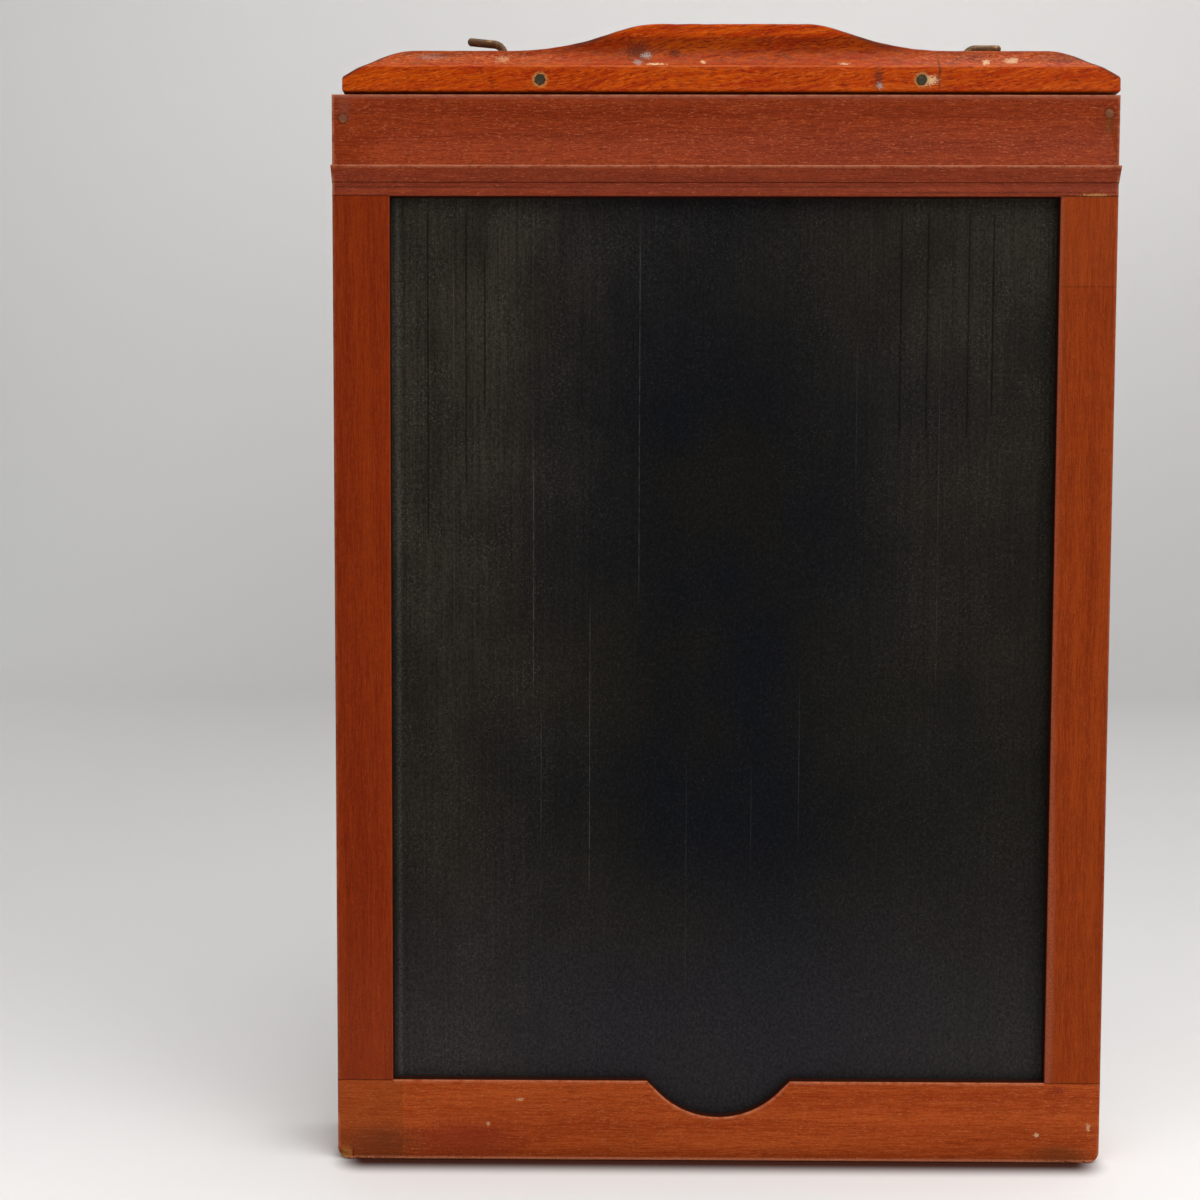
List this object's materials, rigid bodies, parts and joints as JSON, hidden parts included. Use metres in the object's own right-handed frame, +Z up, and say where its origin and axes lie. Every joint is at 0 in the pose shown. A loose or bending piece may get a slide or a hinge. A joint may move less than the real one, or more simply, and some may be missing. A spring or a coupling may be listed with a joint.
{
  "type": "double dark slide",
  "caption": "Wooden double dark slide for glass plates: pull-out black slides with shaped handles on both faces, wire lock hooks, and a sprung septum between the plates.",
  "frame": {"origin": "centre of the foot, halfway through the thickness", "axes": "+Z up along the pull of the slides, front face towards -Y, +X to the right as seen from the front"},
  "size_m": [0.15, 0.0182, 0.2208],
  "materials": {
    "frame_wood": "stained and waxed, worn arrises",
    "handle_wood": "satin varnish, chipped",
    "slide_black": "satin black, scratched along its travel",
    "pin_brass": "tarnished",
    "hook_brass": "dull bronze patina",
    "spring_steel": "satin",
    "septum_black": "matt black",
    "trap_velvet": "black pile"
  },
  "bodies": {
    "frame": {"left_stile": "frame_wood", "right_stile": "frame_wood", "bottom_rail": "frame_wood", "top_rail": "frame_wood", "front_bottom_cheek": "frame_wood", "rear_bottom_cheek": "frame_wood", "front_top_cheek": "frame_wood", "rear_top_cheek": "frame_wood", "front_bottom_ledge": "frame_wood", "rear_bottom_ledge": "frame_wood", "front_top_ledge": "frame_wood", "rear_top_ledge": "frame_wood", "front_corner_pins": "pin_brass", "rear_corner_pins": "pin_brass", "front_trap_velvet": "trap_velvet", "rear_trap_velvet": "trap_velvet", "front_trap_spring": "spring_steel", "rear_trap_spring": "spring_steel", "septum": "septum_black", "front_plate_springs": "spring_steel", "rear_plate_springs": "spring_steel", "spring_rivets": "pin_brass", "front_end_spring": "spring_steel", "rear_end_spring": "spring_steel"},
    "front_slide": {"front_slide_sheet": "slide_black", "front_slide_handle": "handle_wood", "front_handle_pins": "pin_brass"},
    "rear_slide": {"rear_slide_sheet": "slide_black", "rear_slide_handle": "handle_wood", "rear_handle_pins": "pin_brass"},
    "left_hook": {"left_lock_hook": "hook_brass"},
    "right_hook": {"right_lock_hook": "hook_brass"}
  },
  "joints": [
    {"name": "front_slide_pull", "type": "slide", "parent": "frame", "child": "front_slide", "axis": [0, 0, 1], "range_m": [0, 0.22]},
    {"name": "rear_slide_pull", "type": "slide", "parent": "frame", "child": "rear_slide", "axis": [0, 0, 1], "range_m": [0, 0.22]},
    {"name": "left_hook_turn", "type": "hinge", "parent": "frame", "child": "left_hook", "pos_m": [-0.0427, 0, 0.207], "axis": [0, 0, 1], "range_deg": [-90, 90]},
    {"name": "right_hook_turn", "type": "hinge", "parent": "frame", "child": "right_hook", "pos_m": [0.0474, 0, 0.207], "axis": [0, 0, 1], "range_deg": [-90, 90]}
  ]
}
